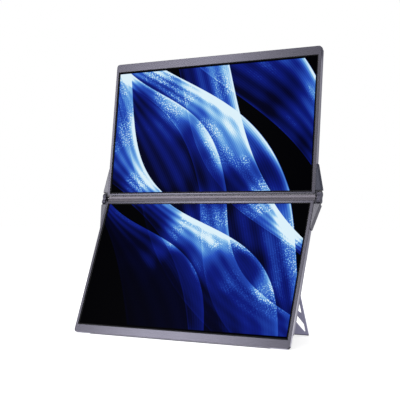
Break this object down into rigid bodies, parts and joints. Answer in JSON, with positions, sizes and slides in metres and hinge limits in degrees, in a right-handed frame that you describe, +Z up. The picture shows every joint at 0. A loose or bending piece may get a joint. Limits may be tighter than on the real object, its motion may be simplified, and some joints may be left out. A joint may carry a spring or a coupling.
{
  "type": "dual-screen portable monitor",
  "caption": "Folding portable monitor with stacked display panels on a dual-axis friction hinge and a plate kickstand behind the lower panel.",
  "frame": {"origin": "middle of the bounding box's footprint, on the table under the monitor", "axes": "+Z up, +X along the hinge to the right as seen from the front, -Y towards the viewer, +Y towards the kickstand"},
  "size_m": [0.3776, 0.1454, 0.4238],
  "materials": {
    "frame_aluminium": "satin anodised, purple grey",
    "cover_aluminium": "satin anodised, light purple grey",
    "stand_aluminium": "satin anodised, purple grey",
    "plate_aluminium": "bare sheet",
    "screen_glass": "gloss, lit from behind",
    "diffuser_film": "white film",
    "clear_acrylic": "clear, edge lit",
    "led_board": "printed strip",
    "circuit_board": "green solder mask",
    "black_plastic": "moulded",
    "plated_steel": "nickel plated",
    "dark_steel": "black oxide",
    "hinge_metal": "dark grey",
    "hinge_cover": "satin anodised",
    "black_rubber": "matt"
  },
  "bodies": {
    "lower_display": {"bracket_screws": "dark_steel", "lower_back_cover": "cover_aluminium", "lower_button_bracket": "black_plastic", "lower_cover_screws": "dark_steel", "lower_diffuser_sheet": "diffuser_film", "lower_driver_board": "circuit_board", "lower_foot_strip": "black_rubber", "lower_front_frame": "frame_aluminium", "lower_hdmi_socket": "plated_steel", "lower_hinge_ear_left": "hinge_cover", "lower_hinge_ear_right": "hinge_cover", "lower_hinge_leaf_left": "dark_steel", "lower_hinge_leaf_right": "dark_steel", "lower_hinge_shafts": "plated_steel", "lower_lcd_glass": "screen_glass", "lower_leaf_screws": "dark_steel", "lower_led_strip": "led_board", "lower_light_guide": "clear_acrylic", "lower_main_board": "circuit_board", "lower_mid_plate": "plate_aluminium", "lower_shaft_nuts": "plated_steel", "lower_speakers": "black_plastic", "lower_usb_c_sockets": "plated_steel", "stand_brackets": "dark_steel", "stand_pins": "plated_steel"},
    "spine": {"friction_washers": "plated_steel", "hinge_block_left": "hinge_metal", "hinge_block_right": "hinge_metal", "hinge_caps": "hinge_cover", "spine_bar": "frame_aluminium", "spine_screws": "dark_steel"},
    "upper_display": {"upper_back_cover": "cover_aluminium", "upper_button_bracket": "black_plastic", "upper_cover_screws": "dark_steel", "upper_diffuser_sheet": "diffuser_film", "upper_driver_board": "circuit_board", "upper_front_frame": "frame_aluminium", "upper_hdmi_socket": "plated_steel", "upper_hinge_ear_left": "hinge_cover", "upper_hinge_ear_right": "hinge_cover", "upper_hinge_leaf_left": "dark_steel", "upper_hinge_leaf_right": "dark_steel", "upper_hinge_shafts": "plated_steel", "upper_lcd_glass": "screen_glass", "upper_leaf_screws": "dark_steel", "upper_led_strip": "led_board", "upper_light_guide": "clear_acrylic", "upper_main_board": "circuit_board", "upper_mid_plate": "plate_aluminium", "upper_shaft_nuts": "plated_steel", "upper_speakers": "black_plastic", "upper_usb_c_sockets": "plated_steel"},
    "stand": {"stand_foot_strip": "black_rubber", "stand_plate": "stand_aluminium"},
    "upper_power_button": {"upper_power_button": "frame_aluminium"},
    "upper_menu_rocker": {"upper_menu_rocker": "frame_aluminium"},
    "lower_power_button": {"lower_power_button": "frame_aluminium"},
    "lower_menu_rocker": {"lower_menu_rocker": "frame_aluminium"}
  },
  "joints": [
    {"name": "lower_hinge", "type": "hinge", "parent": "lower_display", "child": "spine", "pos_m": [0, 0.01676, 0.19936], "axis": [1, 0, 0], "range_deg": [-7.92, 82.08]},
    {"name": "upper_hinge", "type": "hinge", "parent": "spine", "child": "upper_display", "pos_m": [0, 0.0192, 0.20824], "axis": [1, 0, 0], "range_deg": [-7.92, 82.08]},
    {"name": "stand_hinge", "type": "hinge", "parent": "lower_display", "child": "stand", "pos_m": [0, 0.00208, 0.14472], "axis": [1, 0, 0], "range_deg": [-49.46, 25]},
    {"name": "upper_power_press", "type": "slide", "parent": "upper_display", "child": "upper_power_button", "axis": [1, 0, 0], "range_m": [0, 0.0005], "stiffness_N_per_m": 3000, "springref_m": -0.0003},
    {"name": "upper_menu_tip", "type": "hinge", "parent": "upper_display", "child": "upper_menu_rocker", "pos_m": [-0.1756, 0.04189, 0.36462], "axis": [0, -0.9916, 0.1293], "range_deg": [-3, 3], "stiffness_Nm_per_rad": 0.13},
    {"name": "lower_power_press", "type": "slide", "parent": "lower_display", "child": "lower_power_button", "axis": [1, 0, 0], "range_m": [0, 0.0005], "stiffness_N_per_m": 3000, "springref_m": -0.0003},
    {"name": "lower_menu_tip", "type": "hinge", "parent": "lower_display", "child": "lower_menu_rocker", "pos_m": [-0.1756, -0.04356, 0.05332], "axis": [0, -0.9187, 0.3951], "range_deg": [-3, 3], "stiffness_Nm_per_rad": 0.13}
  ]
}
